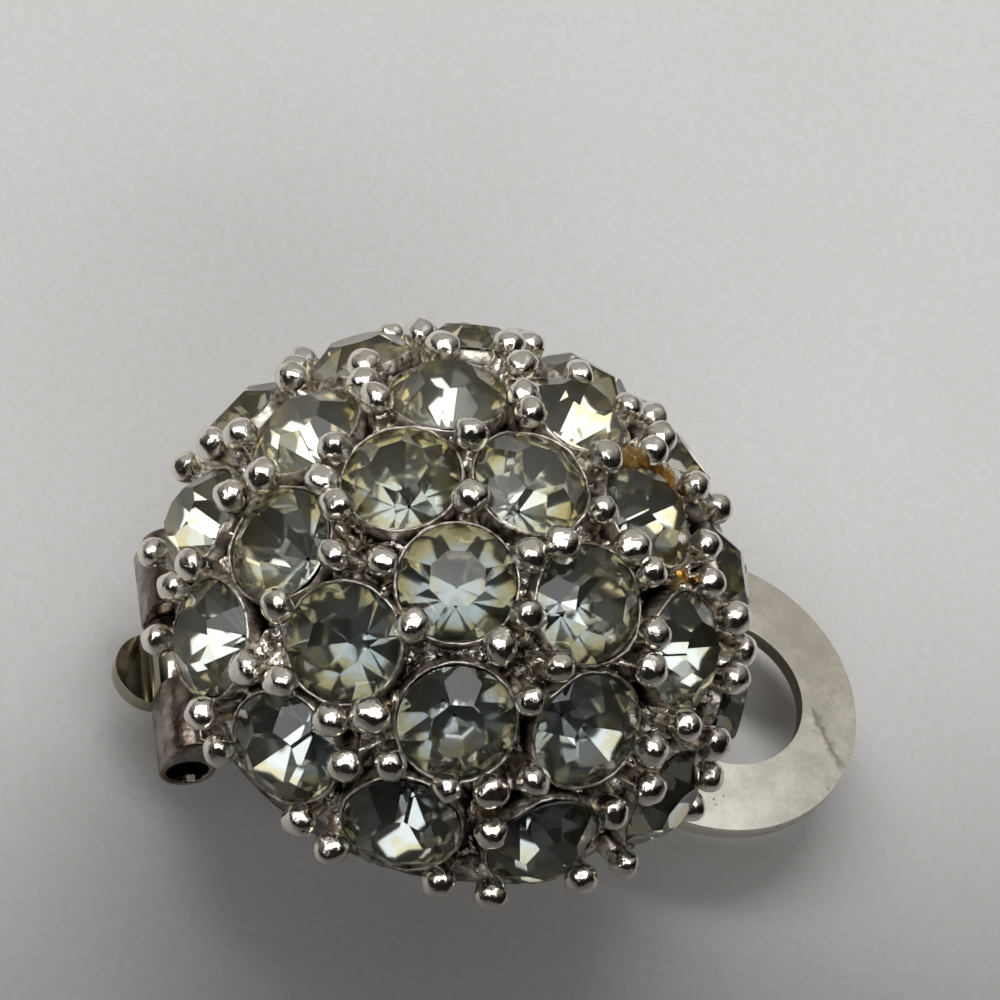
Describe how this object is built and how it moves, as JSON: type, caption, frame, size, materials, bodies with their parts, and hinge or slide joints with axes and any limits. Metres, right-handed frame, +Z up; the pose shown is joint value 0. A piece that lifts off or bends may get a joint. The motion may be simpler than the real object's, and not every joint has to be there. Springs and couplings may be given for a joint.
{
  "type": "clip-on earring",
  "caption": "Domed clip-on earring packed with round faceted glass stones in ball prongs, on a hinged clip whose disc has a round hole.",
  "frame": {"origin": "on the clip's underside, under the middle of the dome", "axes": "+X from the hinge to the clip's free end, +Z up along the dome's axis, away from the clip"},
  "size_m": [0.0271, 0.0213, 0.0156],
  "materials": {
    "cast_metal": "cast white metal, silver plated, polished on the prongs and dull and tarnished between the stones",
    "clip_metal": "silver plated sheet, satin with fine scratches",
    "stone_glass": "clear cut glass with a slightly yellowed foil back"
  },
  "bodies": {
    "cluster": {"setting": "cast_metal", "clip_base": "clip_metal", "hinge_pin": "clip_metal", "stone_01": "stone_glass", "stone_02": "stone_glass", "stone_03": "stone_glass", "stone_04": "stone_glass", "stone_05": "stone_glass", "stone_06": "stone_glass", "stone_07": "stone_glass", "stone_08": "stone_glass", "stone_09": "stone_glass", "stone_10": "stone_glass", "stone_11": "stone_glass", "stone_12": "stone_glass", "stone_13": "stone_glass", "stone_14": "stone_glass", "stone_15": "stone_glass", "stone_16": "stone_glass", "stone_17": "stone_glass", "stone_18": "stone_glass", "stone_19": "stone_glass", "stone_20": "stone_glass", "stone_21": "stone_glass", "stone_22": "stone_glass", "stone_23": "stone_glass", "stone_24": "stone_glass", "stone_25": "stone_glass", "stone_26": "stone_glass", "stone_27": "stone_glass", "stone_28": "stone_glass", "stone_29": "stone_glass", "stone_30": "stone_glass"},
    "clip": {"paddle": "clip_metal"}
  },
  "joints": [
    {"name": "clip_hinge", "type": "hinge", "parent": "cluster", "child": "clip", "pos_m": [-0.0086, 0, 0.00255], "axis": [0, 1, 0], "range_deg": [0, 70]}
  ]
}
